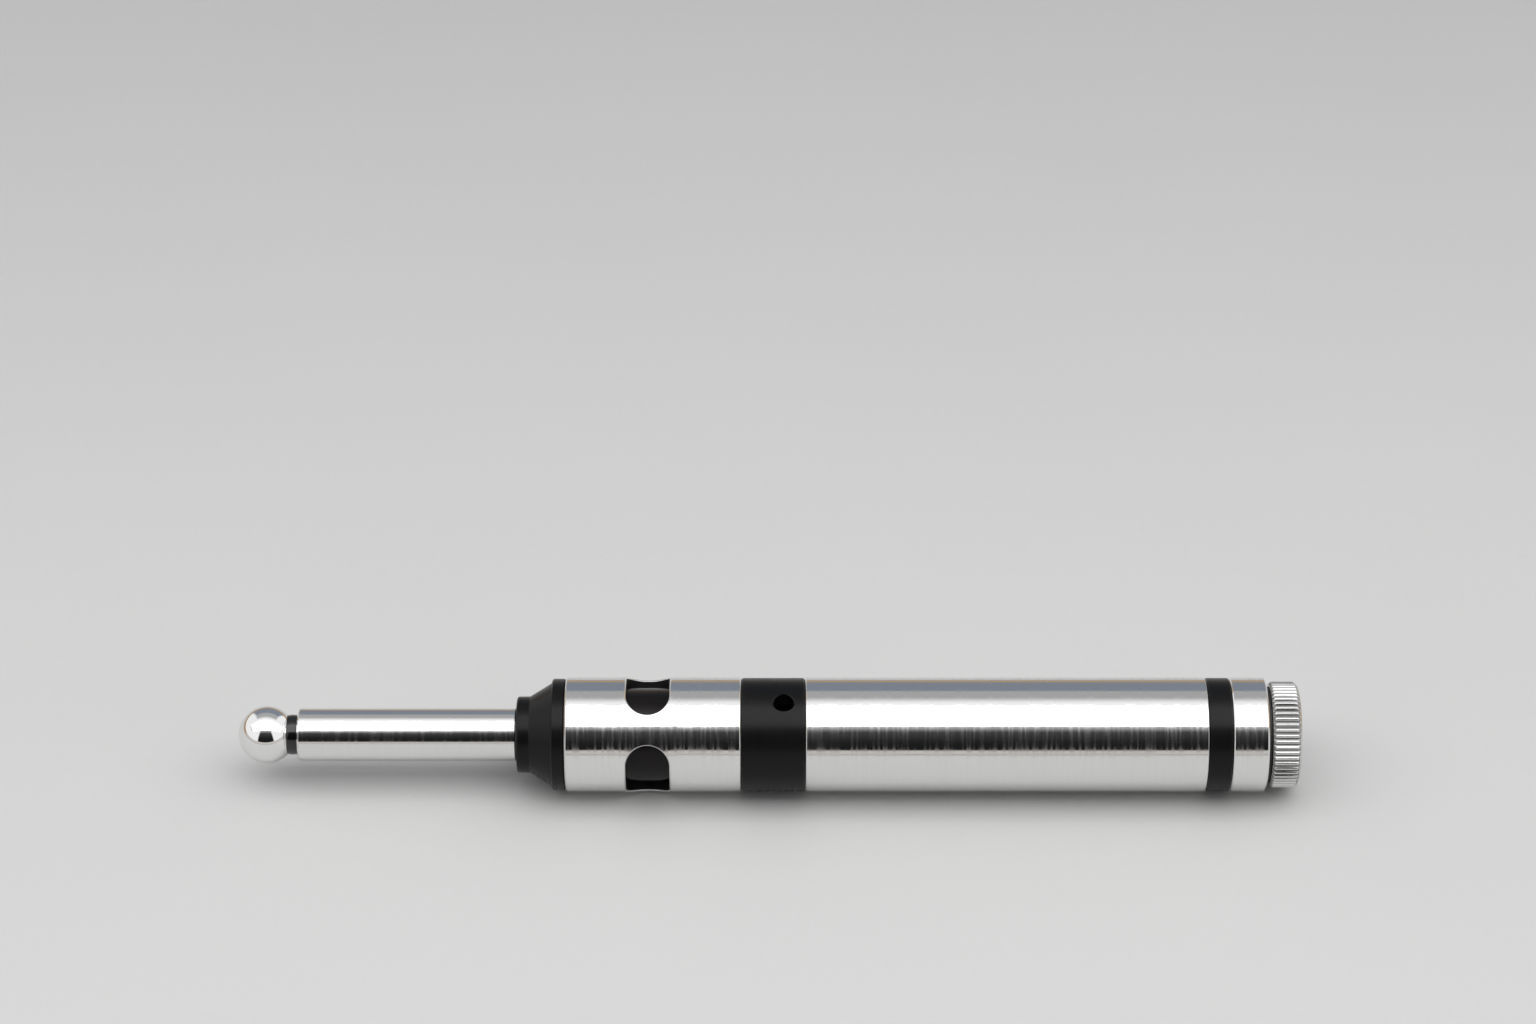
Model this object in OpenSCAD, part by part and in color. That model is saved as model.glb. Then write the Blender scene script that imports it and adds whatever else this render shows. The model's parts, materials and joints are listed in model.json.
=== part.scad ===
// Electronic edge finder: a ball tip on a sprung stem, a lamp section with three windows,
// a centre ring with the buzzer, and a 20 mm shank that holds two cells under a knurled cap.
// The tool's axis is +X, from the ball to the cap, and the origin is the middle of the shank.
// Angles round the axis count from the -Y side towards +Z.

/* [Shank and tail] */
// Diameter of the shank that the collet grips
shank_d = 20; // [16:0.5:25]
// Length of the shank between its two end faces
shank_len = 70; // [60:1:90]
// Bore of the shank, which takes the cell sleeve
shank_bore_d = 14; // [13.6:0.1:14.8]
// Bore at the shank's two ends, which takes the spigots
socket_d = 16.4; // [15.8:0.1:17]
// Depth of the shank's socket for the centre ring
ring_socket_depth = 6; // [4:0.5:10]
// Depth of the shank's socket for the tail ring
tail_socket_depth = 7; // [5:0.5:12]
// Length of the black band behind the shank
band_len = 4; // [2:0.5:8]
// How far the band stands below the shank's surface
band_recess = 0.1; // [0:0.05:0.4]
// Length of the steel tail ring behind the band
tail_len = 6.3; // [4:0.1:10]
// Bevel on the ends of the steel tubes
edge_break = 0.3; // [0.1:0.05:0.6]

/* [Cap] */
// Diameter over the knurl
cap_d = 18.5; // [17.5:0.1:19.5]
// Length of the knurled head
cap_len = 5; // [4:0.1:8]
// Thickness of the cap's end wall
cap_wall = 1.5; // [1:0.1:2.5]
// Number of ridges in the knurl
knurl_count = 56; // [40:2:72]
// Depth of the grooves between the ridges
knurl_depth = 0.42; // [0.2:0.02:0.6]
// Share of each ridge that is crest
knurl_crest = 0.56; // [0.4:0.02:0.7]
// Bevel on the cap's outer rim
cap_bevel = 0.7; // [0.3:0.1:1.2]
// Length of the threaded spigot under the head
cap_spigot_len = 6.5; // [4:0.5:7]
// Bore of the cap, clear of the rear cell
cap_bore_d = 11.2; // [10.9:0.1:11.6]
// Thickness of the sealing ring under the head
seal_len = 0.7; // [0.4:0.1:1.2]
// Outer diameter of the sealing ring
seal_d = 16.8; // [15.5:0.1:17.4]
// Length of the spring in the cap, pressed together
cap_spring_len = 5; // [3.5:0.5:7]
// Mean diameter of that spring
cap_spring_d = 7.6; // [6:0.2:8.6]
// Wire of that spring
cap_spring_wire = 0.7; // [0.5:0.1:0.9]
// Turns of that spring
cap_spring_turns = 3.5; // [3:0.5:5]

/* [Cells] */
// Diameter of one cell
cell_d = 10.5; // [10:0.1:10.5]
// Length of one cell with its nub
cell_len = 44.5; // [43.5:0.1:44.5]
// Diameter of the cell's nub
nub_d = 3.8; // [3.4:0.1:4]
// Height of the cell's nub
nub_h = 0.9; // [0.8:0.1:1.2]
// Inner diameter of the plastic sleeve round the cells
sleeve_bore_d = 11; // [10.8:0.1:11.6]
// Gap between the sleeve's ends and its neighbours
sleeve_gap = 0.2; // [0.1:0.1:0.6]

/* [Centre ring] */
// Length of the black centre ring, which grows where longer cells need the room
ring_len = 11; // [9:0.5:16]
// How far the ring stands below the shank's surface
ring_recess = 0.1; // [0:0.05:0.4]
// Length of the ring's front spigot, in the lamp tube
ring_spigot_len = 10.3; // [9:0.1:11]
// Thickness of the wall between the buzzer and the cells
web_len = 1.2; // [1:0.1:2]
// Depth of the sound chamber in front of that wall
chamber_len = 0.6; // [0.4:0.1:1]
// Diameter of the sound port
port_d = 3.5; // [2:0.1:4]
// Least gap between the light sleeve and the buzzer
buzzer_room = 0.8; // [0.6:0.1:1.3]
// Distance of the port's centre from the ring's rear face
port_from_rear = 3.7; // [2.8:0.1:5]
// Angle of the sound port round the axis
port_angle = 75; // [0:5:360]
// Bevel round the sound port
port_bevel = 0.3; // [0.1:0.05:0.5]

/* [Lamp section] */
// Length of the steel lamp tube
tube_len = 30.7; // [28:0.1:40]
// Number of windows
window_count = 3; // [2:1:3]
// Angle of the first window round the axis
window_angle = 105; // [0:5:360]
// Width of a window along the axis
window_w = 7.6; // [5:0.1:9]
// Angle that a window spans round the axis
window_span = 87; // [60:1:100]
// Distance from the tube's front face to the windows' middle
window_pos = 14.4; // [12:0.1:18]
// Bevel round each window
window_bevel = 0.22; // [0.1:0.01:0.4]
// Outer diameter of the light sleeve's two ends, in the spigots
light_d = 13.6; // [13:0.1:14.4]
// Wall of the light sleeve's ends
light_wall = 1.2; // [0.8:0.1:1.5]

/* [Buzzer and board] */
// Diameter of the buzzer
buzzer_d = 12; // [11:0.1:12.4]
// Height of the buzzer
buzzer_h = 6; // [5:0.1:7]
// Distance between the buzzer's pins
buzzer_pin_pitch = 6.5; // [5:0.1:7.6]
// Thickness of the circuit board
board_t = 1; // [0.8:0.1:1.6]
// Length of the circuit board
board_len = 15.4; // [12:0.2:16]
// Diameter of the lamp's body
led_d = 3; // [2:0.5:3]
// Thickness of the insulated leads
lead_d = 0.7; // [0.5:0.1:0.9]

/* [Nose] */
// Length of the black nose
nose_len = 8.5; // [7:0.1:12]
// Diameter of the nose's front ring
nose_ring_d = 13.3; // [12:0.1:15]
// Length of the nose's front ring
nose_ring_len = 1.8; // [1:0.1:3]
// Length of the nose's cone
nose_cone_len = 3.9; // [3:0.1:6]
// Diameter at the cone's wide end
nose_cone_d = 18.1; // [16:0.1:19]
// Diameter of the nose's rear rim
nose_rim_d = 19.5; // [18:0.1:20]
// Length of the nose's spigot in the lamp tube
nose_spigot_len = 5; // [4:0.5:8]
// Thickness of the wall that the stem is bolted to
nose_wall = 7.6; // [6:0.1:8]

/* [Stem and ball] */
// Diameter of the stem
stem_d = 9.2; // [8:0.1:10]
// Length of the stem outside the nose
stem_len = 38.2; // [25:0.1:60]
// Diameter of the stem's threaded end in the nose
stem_thread_d = 8; // [7.6:0.1:8.6]
// Bore at the front of the stem
stem_bore_d = 5.2; // [4.4:0.1:5.6]
// Bore for the spring at the back of the stem
spring_bay_d = 6; // [5.6:0.1:6.2]
// Length of the front bore, from the stem's face
stem_bore_len = 19.4; // [12:0.1:24]
// Length of the guide between the two bores
guide_len = 4; // [2:0.5:8]
// Diameter of the contact ball
ball_d = 10; // [6:0.5:12]
// Diameter of the black bead that the ball rocks on
seat_d = 7; // [6:0.1:7.6]
// Distance from the ball's centre to the bead's centre
ball_offset = 4.55; // [4.3:0.05:5]
// How far the bead's centre stands in front of the stem
seat_proud = 1; // [0.8:0.05:1.4]
// Diameter of the hole through the bead at its waist
seat_bore_d = 3; // [2.9:0.1:3.4]
// Diameter of the pull rod and of the ball's stud
rod_d = 1.5; // [1.2:0.1:1.6]
// Mean diameter of the two linked eyes
eye_d = 1.8; // [1.7:0.05:1.9]
// Wire of the two linked eyes
eye_wire = 0.6; // [0.5:0.05:0.6]
// Distance of each eye's centre from the pivot
eye_offset = 0.54; // [0.5:0.02:0.56]
// Length of the ball's spring
ball_spring_len = 14; // [10:0.5:18]
// Mean diameter of the ball's spring
ball_spring_d = 4.7; // [4:0.1:4.8]
// Wire of the ball's spring
ball_spring_wire = 0.6; // [0.4:0.05:0.7]
// Turns of the ball's spring
ball_spring_turns = 8; // [6:1:12]
// Length of the nut that holds the spring
rod_nut_len = 2.5; // [2:0.5:4]

/* [Hidden] */
$fn = 96;

// Clearances
slip = 0.05;     // between pieces that slide or push together by hand
running = 0.05;  // between a turning or sliding piece and its guide
resting = 0.03;  // between pieces that rest against each other
touch = 0.02;    // between a wire and what it is soldered to
cut = 0.5;       // how far a cutter runs past a face
body_r = shank_d / 2;
spigot_r = socket_d / 2 - slip;

// Faces along the axis from the shank back to the cap
shank_f = -shank_len / 2;
shank_r = shank_len / 2;
band_r = shank_r + band_len;
tail_r = band_r + tail_len;
cap_f = tail_r + seal_len;
cap_r = cap_f + cap_len;

// The cells stand between the cap's spring and the front contact
cells_r = cap_r - cap_wall - cap_spring_len;
cells_mid = cells_r - cell_len;
cells_f = cells_mid - cell_len;
contact_head = 0.3;
contact_t = 0.4;
web_r = cells_f - contact_head - contact_t;
web_f = web_r - web_len;
buzzer_r = web_f - chamber_len;
buzzer_f = buzzer_r - buzzer_h;
cap_spigot_f = cap_f - cap_spigot_len;
thread_r = shank_bore_d / 2;
sleeve_f = max(shank_f - port_from_rear + port_d / 2, web_r + contact_t) + sleeve_gap;

// Faces along the axis from the centre ring forward to the ball
light_seat = 2;
ring_f = min(shank_f - ring_len, buzzer_f - buzzer_room - light_seat + ring_spigot_len);
tube_f = ring_f - tube_len;
nose_f = tube_f - nose_len;
stem_f = nose_f - stem_len;
pivot = stem_f - seat_proud;
ball_x = pivot - ball_offset;

// The lamp section between the nose and the centre ring
ring_spigot_f = ring_f - ring_spigot_len;
light_r = ring_spigot_f + light_seat;
nose_wall_r = nose_f + nose_wall;
nose_spigot_r = tube_f + nose_spigot_len;
light_f = nose_spigot_r - light_seat + slip;
light_socket_r = light_d / 2 + slip;
light_in = light_d / 2 - light_wall;
board_inset = 1.5;
board_f = light_f + board_inset;
board_r = board_f + board_len;
board_half = sqrt(pow(light_in - resting, 2) - pow(board_t / 2, 2));
board_top = board_t / 2;
lead_low = board_top + lead_d / 2 + touch;
lead_channel = buzzer_d / 2 + lead_d / 2 + 0.1;
window_x = tube_f + window_pos;

// The stem's inside
stem_nut_t = 3;
stem_nut_af = 10;
lug_t = 0.5;
lug_tab_z = 6;
guide_f = stem_f + stem_bore_len;
bay_f = guide_f + guide_len;
rod_nut_f = bay_f + ball_spring_len;
rod_nut_r = rod_nut_f + rod_nut_len;
rod_stub = 1;
rod_end = rod_nut_r + rod_stub;
stud_depth = 1.6;
thread_stub = 0.5;
stem_end = nose_wall_r + lug_t + stem_nut_t + thread_stub;
seat_cup_r = seat_d / 2 + resting;

// Turns a child that was made along +Z so that it lies along +X
module along_x() { rotate([0, 90, 0]) children(); }

// A turned piece: each point is [radius, x]
module turned(points) { along_x() rotate_extrude() polygon(points); }

// A plain tube or disc between two faces
module tube(x1, x2, r_out, r_in = 0) {
    turned([[r_in, x1], [r_out, x1], [r_out, x2], [r_in, x2]]);
}

// A tube whose two outer edges are bevelled
module bevelled_tube(x1, x2, r_out, r_in, bevel) {
    turned([[r_in, x1], [r_out - bevel, x1], [r_out, x1 + bevel],
            [r_out, x2 - bevel], [r_out - bevel, x2], [r_in, x2]]);
}

// Points along an arc in a profile, for a rounded corner
function arc(centre, r, from, to, steps = 6) =
    [for (i = [0:steps]) let (a = from + (to - from) * i / steps)
        [centre[0] + r * cos(a), centre[1] + r * sin(a)]];

// Turns a child, made along +X at the top of the axis, to an angle counted from -Y to +Z
module round_axis(angle) { rotate([90 - angle, 0, 0]) children(); }

// Vector helpers for the swept wires
function unit(v) = v / norm(v);
function direction(path, i) =
    unit(path[min(i + 1, len(path) - 1)] - path[max(i - 1, 0)]);

// A wire swept along a path of points. "up" may not lie along the path.
module wire(path, d, up, sides = 8) {
    n = len(path);
    rings = [for (i = [0:n - 1])
        let (t = direction(path, i), u = unit(cross(t, up)), v = cross(u, t))
        for (k = [0:sides - 1])
            path[i] + d / 2 * (cos(360 * k / sides) * u + sin(360 * k / sides) * v)];
    walls = [for (i = [0:n - 2]) for (k = [0:sides - 1])
        let (a = i * sides + k, b = i * sides + (k + 1) % sides)
        each [[a, b, b + sides], [a, b + sides, a + sides]]];
    start = [[for (k = [sides - 1:-1:0]) k]];
    end = [[for (k = [0:sides - 1]) (n - 1) * sides + k]];
    polyhedron(points = rings, faces = concat(walls, start, end), convexity = 8);
}

// A compression spring along the axis, with one closed turn at each end
module coil(x1, x2, mean_d, wire_d, turns, steps = 16) {
    n = round((turns + 2) * steps);
    a = x1 + wire_d / 2 + slip / 2;
    b = x2 - wire_d / 2 - slip / 2;
    closed = wire_d * 1.04;
    function along(t) = t < 1 ? a + closed * t
        : t > turns + 1 ? b - closed * (turns + 2 - t)
        : a + closed + (b - a - 2 * closed) * (t - 1) / turns;
    path = [for (i = [0:n]) let (t = i / steps)
        [along(t), mean_d / 2 * cos(360 * t), mean_d / 2 * sin(360 * t)]];
    wire(path, wire_d, [1, 0, 0], 6);
}

// Polished ball with a round socket that rocks on the bead, and a blind hole for its stud
module contact_ball() {
    color("gainsboro")
    difference() {
        translate([ball_x, 0, 0]) sphere(d = ball_d);
        translate([pivot, 0, 0]) sphere(r = seat_cup_r);
        tube(ball_x - stud_depth, pivot, rod_d / 2);
    }
}

// One of the two linked eyes: side is -1 for the ball's and 1 for the rod's
module eye(side) {
    translate([pivot + side * eye_offset, 0, 0])
        rotate_extrude() translate([eye_d / 2, 0]) circle(d = eye_wire, $fn = 32);
}

// Stud pressed into the ball, with an eye lying flat
module ball_stud() {
    color("silver")
    union() {
        eye(-1);
        tube(ball_x - stud_depth, pivot - eye_offset - eye_d / 2, rod_d / 2);
    }
}

// Black bead between the ball and the stem, bored so that the rod can swing
module ball_seat() {
    waist = 1.2;
    mouth = seat_d / 2 - 0.5;
    mouth_r = mouth * 0.75;
    bore = seat_bore_d / 2;
    color("#161616")
    difference() {
        translate([pivot, 0, 0]) sphere(d = seat_d);
        turned([[0, pivot - seat_d], [mouth_r, pivot - seat_d], [mouth_r, pivot - mouth],
                [bore, pivot - waist], [bore, pivot + waist], [mouth_r, pivot + mouth],
                [mouth_r, pivot + seat_d], [0, pivot + seat_d]]);
    }
}

// Rod that pulls the ball home, with an eye standing upright
module pull_rod() {
    color("silver")
    union() {
        rotate([90, 0, 0]) eye(1);
        tube(pivot + eye_offset + eye_d / 2, rod_end, rod_d / 2);
    }
}

module ball_spring() {
    color("#8c8f93")
    coil(bay_f, rod_nut_f, ball_spring_d, ball_spring_wire, ball_spring_turns);
}

// Round slotted nut on the rod's end
module rod_nut() {
    slot = 0.8;
    slot_depth = 1;
    bevel = 0.2;
    nut_r = spring_bay_d / 2 - 0.3;
    color("#b08d4a")
    difference() {
        bevelled_tube(rod_nut_f, rod_nut_r, nut_r, rod_d / 2, bevel);
        translate([rod_nut_r - slot_depth, -nut_r - cut, -slot / 2])
            cube([slot_depth + cut, 2 * (nut_r + cut), slot]);
    }
}

// Steel stem: a cup for the bead, a guide for the rod, a bay for the spring, a threaded end
module stem_tube() {
    r = stem_d / 2;
    thread = stem_thread_d / 2;
    lead_in = 0.4;
    color("gainsboro")
    difference() {
        turned([[0, stem_f], [r - edge_break, stem_f], [r, stem_f + edge_break],
                [r, nose_f - edge_break], [r - edge_break, nose_f], [thread, nose_f],
                [thread, stem_end - lead_in], [thread - lead_in, stem_end], [0, stem_end]]);
        translate([pivot, 0, 0]) sphere(r = seat_cup_r);
        tube(stem_f - cut, guide_f, stem_bore_d / 2);
        tube(guide_f - cut, bay_f + cut, rod_d / 2 + running);
        tube(bay_f, stem_end + cut, spring_bay_d / 2);
    }
}

// Black nose that insulates the stem from the lamp tube
module nose_cone() {
    ring = nose_ring_d / 2;
    rim = nose_rim_d / 2;
    round_f = 0.45;
    cone_f = nose_f + round_f + nose_ring_len;
    cone_r = cone_f + nose_cone_len;
    step = 0.25;
    bore = stem_thread_d / 2 + slip;
    color("#1b1b1c")
    turned(concat([[bore, nose_f]],
        arc([ring - round_f, nose_f + round_f], round_f, -90, 0),
        [[ring, cone_f], [nose_cone_d / 2, cone_r], [rim - step, cone_r], [rim, cone_r + step],
         [rim, tube_f - step], [rim - step, tube_f], [spigot_r, tube_f],
         [spigot_r, nose_spigot_r], [light_socket_r, nose_spigot_r],
         [light_socket_r, nose_wall_r], [bore, nose_wall_r]]));
}

// Brass lug under the stem's nut, with a tab for the lead
module solder_lug() {
    tab_w = 2;
    tab_t = 0.5;
    tab_end = light_f - 0.4;
    color("#c9a24e")
    union() {
        tube(nose_wall_r, nose_wall_r + lug_t, lug_tab_z, stem_thread_d / 2 + slip);
        translate([nose_wall_r, -tab_w / 2, lug_tab_z - 0.5]) cube([lug_t, tab_w, 0.5 + tab_t]);
        translate([nose_wall_r, -tab_w / 2, lug_tab_z])
            cube([tab_end - nose_wall_r, tab_w, tab_t]);
    }
}

// Hexagon nut that clamps the stem, one flat towards +Z
module stem_nut() {
    x = nose_wall_r + lug_t;
    color("#b9bcc0")
    difference() {
        translate([x, 0, 0]) along_x() rotate([0, 0, 30])
            cylinder(d = stem_nut_af / cos(30), h = stem_nut_t, $fn = 6);
        tube(x - cut, x + stem_nut_t + cut, stem_thread_d / 2 + slip);
    }
}

// Cutter for one window, centred on +Z: round ends, with a bevel at the outer surface.
// The ends are a touch rounder than half the width, so they cross the sides instead of grazing them.
module window_cutter() {
    half = window_w / 2;
    end_r = half * 1.03;
    end = window_span / 2 - asin(end_r / body_r);
    inner = socket_d / 2 - 1;
    outer = body_r + 1;
    bevel_r = body_r - window_bevel;
    spread = outer - bevel_r;
    intersection() {
        turned([[inner, -half], [bevel_r, -half], [outer, -half - spread],
                [outer, half + spread], [bevel_r, half], [inner, half]]);
        union() {
            rotate([end, 0, 0]) along_x()
                rotate([0, 0, 180 - 2 * end]) rotate_extrude(angle = 2 * end)
                    translate([0, -window_w]) square([outer + 1, 2 * window_w]);
            for (side = [-1, 1]) rotate([side * end, 0, 0]) {
                translate([0, 0, inner - cut]) cylinder(r = end_r, h = outer + 1 - inner + cut);
                translate([0, 0, bevel_r]) cylinder(r1 = end_r, r2 = end_r + spread + 1, h = spread + 1);
            }
        }
    }
}

// Steel tube with the windows
module lamp_tube() {
    color("gainsboro")
    difference() {
        bevelled_tube(tube_f, ring_f, body_r, socket_d / 2, edge_break);
        for (i = [0:window_count - 1])
            translate([window_x, 0, 0]) round_axis(window_angle + i * 360 / window_count)
                window_cutter();
    }
}

// Smoked sleeve that spreads the lamp's light. Its thick middle stands right behind the
// windows, and its two thin ends sit in the spigots.
module light_sleeve() {
    seat = light_d / 2;
    middle_f = nose_spigot_r + slip;
    middle_r = ring_spigot_f - slip;
    color("#2a1512")
    turned([[light_in, light_f], [seat, light_f], [seat, middle_f], [spigot_r, middle_f],
            [spigot_r, middle_r], [seat, middle_r], [seat, light_r], [light_in, light_r]]);
}

module lamp_board() {
    color("#2f6b3a")
    translate([board_f, -board_half, -board_t / 2]) cube([board_len, 2 * board_half, board_t]);
}

// Lamp with a round dome and two legs, in the middle of the windows
module indicator_lamp() {
    r = led_d / 2;
    body = 3;
    flange = r + 0.4;
    flange_t = 0.8;
    rear = body + flange_t;
    z = board_top + flange;
    leg = 0.5;
    leg_run = 1;
    leg_pitch = 2.54;
    color("#b3241c")
    translate([window_x, 0, z])
    union() {
        along_x() cylinder(r = r, h = body);
        sphere(r = r);
        translate([body, 0, 0]) along_x() cylinder(r = flange, h = flange_t);
        for (side = [-1, 1]) translate([rear, side * leg_pitch / 2 - leg / 2, 0]) {
            translate([0, 0, -leg / 2]) cube([leg_run, leg, leg]);
            translate([leg_run - leg, 0, board_top - z]) cube([leg, leg, z - board_top]);
        }
    }
}

// Axial resistor under the board
module resistor() {
    r = 0.9;
    body = 4.6;
    span = 7;
    leg = 0.4;
    x = board_f + span / 2 + 0.35;
    z = -board_top - r - 0.3;
    color("#c8b48a")
    union() {
        translate([x, 0, z]) along_x() cylinder(r = r, h = body, center = true);
        translate([x, 0, z]) cube([span, leg, leg], center = true);
        for (side = [-1, 1]) translate([x + side * (span - leg) / 2 - leg / 2, -leg / 2, z])
            cube([leg, leg, -board_top - z]);
    }
}

// Round buzzer with its sound hole towards the cells and two pins on the board
module buzzer() {
    pin = 0.6;
    overlap = 1.2;
    sound_r = 1;
    sound_depth = 1;
    reach = buzzer_f - board_r + overlap;
    color("#202022")
    difference() {
        union() {
            tube(buzzer_f, buzzer_r, buzzer_d / 2);
            for (side = [-1, 1])
                translate([buzzer_f - reach, side * buzzer_pin_pitch / 2 - pin / 2, board_top])
                    cube([reach + cut, pin, pin]);
        }
        tube(buzzer_r - sound_depth, buzzer_r + cut, sound_r);
    }
}

// Insulated lead from the lug's tab to the front of the board
module stem_lead() {
    high = lug_tab_z - lead_d / 2 - touch;
    color("#a3261f")
    wire([[light_f - 1.3, 0, high], [light_f - 0.4, 0, high], [light_f + 0.4, 0, high - 0.7],
          [light_f + 0.9, 0, high - 2], [light_f + 1.3, 0, high - 3.4],
          [light_f + 2, 0, lead_low + 0.2], [light_f + 2.8, 0, lead_low],
          [light_f + 4, 0, lead_low]],
         lead_d, [0, 1, 0]);
}

// Insulated lead from the back of the board, past the buzzer, to the front contact
module battery_lead() {
    turn = (light_r + buzzer_f) / 2;
    color("#1f2f8a")
    wire([[board_r - 1.5, 0, lead_low], [board_r - 0.9, 0, lead_low + 0.1],
          [board_r - 0.3, 0, lead_low + 0.9], [board_r + 0.6, 0, lead_low + 2.6],
          [turn - 0.5, 0, lead_low + 4], [turn, 0, lead_channel - 0.9],
          [turn + 0.3, 0, lead_channel - 0.25], [turn + 1, 0, lead_channel],
          [web_f, 0, lead_channel], [web_r - resting, 0, lead_channel]],
         lead_d, [0, 1, 0]);
}

// Black centre ring: the buzzer's cup in front, the cells' bore behind, and the sound port
module centre_ring() {
    r = body_r - ring_recess;
    bevel = 0.25;
    vent_r = 0.8;
    vent_at = 4.4;
    ledge = 0.6;
    cup_r = buzzer_d / 2 + slip;
    cup_f = buzzer_f - 0.2;
    port_x = shank_f - port_from_rear;
    port_r = port_d / 2;
    color("#1b1b1c")
    difference() {
        turned([[light_socket_r, ring_spigot_f], [spigot_r, ring_spigot_f], [spigot_r, ring_f],
                [r - bevel, ring_f], [r, ring_f + bevel], [r, shank_f - bevel],
                [r - bevel, shank_f], [spigot_r, shank_f],
                [spigot_r, shank_f + ring_socket_depth],
                [thread_r, shank_f + ring_socket_depth], [thread_r, web_r], [0, web_r],
                [0, web_f], [cup_r - ledge, web_f], [cup_r - ledge, buzzer_r], [cup_r, buzzer_r],
                [cup_r, cup_f], [light_socket_r, cup_f]]);
        for (i = [0:3]) rotate([45 + i * 90, 0, 0])
            translate([web_f - cut, 0, vent_at]) along_x() cylinder(r = vent_r, h = web_len + 2 * cut);
        translate([buzzer_f - cut, 0, lead_channel])
            along_x() cylinder(d = lead_d + 0.3, h = web_r - buzzer_f + 2 * cut);
        translate([port_x, 0, 0]) round_axis(port_angle) {
            translate([0, 0, thread_r - 1]) cylinder(r = port_r, h = body_r);
            translate([0, 0, r - port_bevel])
                cylinder(r1 = port_r, r2 = port_r + port_bevel + 1, h = port_bevel + 1);
        }
    }
}

// Front contact: a disc with a raised head for the cell's nub and a tab for the lead
module battery_contact() {
    tab_w = 1.8;
    disc_r = 3.2;
    head_r = nub_d / 2 - 0.2;
    color("#c9a24e")
    union() {
        tube(web_r, web_r + contact_t, disc_r);
        tube(web_r + contact_t / 2, cells_f, head_r);
        translate([web_r, -tab_w / 2, 0]) cube([contact_t, tab_w, thread_r - 0.15]);
    }
}

// Shank: ground outside, bored for the cell sleeve, with a socket at each end
module shank_tube() {
    color("gainsboro")
    difference() {
        bevelled_tube(shank_f, shank_r, body_r, shank_bore_d / 2, edge_break);
        tube(shank_f - cut, shank_f + ring_socket_depth + slip, socket_d / 2);
        tube(shank_r - tail_socket_depth - slip, shank_r + cut, socket_d / 2);
    }
}

// Plastic sleeve that keeps the cells off the shank
module cell_sleeve() {
    color("#d8d4c8")
    tube(sleeve_f, cap_spigot_f - sleeve_gap, shank_bore_d / 2 - slip, sleeve_bore_d / 2);
}

// One cell with its nub towards the ball
module cell(rear) {
    front = rear - cell_len;
    shoulder = front + nub_h;
    r = cell_d / 2;
    round_f = 0.5;
    round_r = 0.3;
    turned([[0, front], [nub_d / 2, front], [nub_d / 2, shoulder], [r - round_f, shoulder],
            [r, shoulder + round_f], [r, rear - round_r], [r - round_r, rear], [0, rear]]);
}

module front_cell() { color("#1d4f9c") cell(cells_mid); }

module rear_cell() { color("#1d4f9c") cell(cells_r); }

module tail_band() {
    bevel = 0.2;
    color("#1b1b1c")
    bevelled_tube(shank_r, band_r, body_r - band_recess, socket_d / 2, bevel);
}

// Steel tail ring: its long spigot holds the band, and its bore takes the cap's thread
module tail_ring() {
    color("gainsboro")
    union() {
        bevelled_tube(band_r, tail_r, body_r, thread_r, edge_break);
        tube(shank_r - tail_socket_depth, band_r + edge_break, spigot_r, thread_r);
    }
}

// Rubber ring pressed flat between the tail ring and the cap
module cap_seal() {
    rounding = 0.2;
    inner = thread_r + slip;
    outer = seal_d / 2;
    color("#101010")
    turned([[inner, tail_r], [outer - rounding, tail_r], [outer, tail_r + rounding],
            [outer, cap_f - rounding], [outer - rounding, cap_f], [inner, cap_f]]);
}

// Outline of the knurl: flat crests with tapered grooves between them
module knurl_outline() {
    crest_r = cap_d / 2;
    root_r = crest_r - knurl_depth;
    pitch = 360 / knurl_count;
    crest = pitch * knurl_crest / 2;
    root = pitch * (1 - knurl_crest) / 6;
    polygon([for (i = [0:knurl_count - 1]) let (a = i * pitch)
        each [for (p = [[crest_r, a - crest], [crest_r, a + crest],
                        [root_r, a + pitch / 2 - root], [root_r, a + pitch / 2 + root]])
            [p[0] * cos(p[1]), p[0] * sin(p[1])]]]);
}

// Knurled cap with a hollow threaded spigot
module end_cap() {
    head_r = cap_d / 2;
    spigot = thread_r - running;
    lead_in = 0.4;
    front_bevel = 0.55;
    front_r = head_r - knurl_depth - 0.1;
    turn_r = head_r + 0.01;
    color("silver")
    difference() {
        union() {
            intersection() {
                translate([cap_f, 0, 0]) along_x() linear_extrude(cap_len) knurl_outline();
                turned([[0, cap_f], [front_r, cap_f], [turn_r, cap_f + front_bevel],
                        [turn_r, cap_r - cap_bevel], [head_r - cap_bevel, cap_r], [0, cap_r]]);
            }
            turned([[0, cap_spigot_f], [spigot - lead_in, cap_spigot_f],
                    [spigot, cap_spigot_f + lead_in], [spigot, cap_f + cut], [0, cap_f + cut]]);
        }
        tube(cap_spigot_f - cut, cap_r - cap_wall, cap_bore_d / 2);
    }
}

module cap_spring() {
    color("#b9bcc0")
    coil(cells_r, cap_r - cap_wall, cap_spring_d, cap_spring_wire, cap_spring_turns - 2);
}

contact_ball();
ball_stud();
ball_seat();
pull_rod();
ball_spring();
rod_nut();
stem_tube();
nose_cone();
solder_lug();
stem_nut();
lamp_tube();
light_sleeve();
lamp_board();
indicator_lamp();
resistor();
buzzer();
stem_lead();
battery_lead();
centre_ring();
battery_contact();
shank_tube();
cell_sleeve();
front_cell();
rear_cell();
tail_band();
tail_ring();
cap_seal();
end_cap();
cap_spring();
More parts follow.
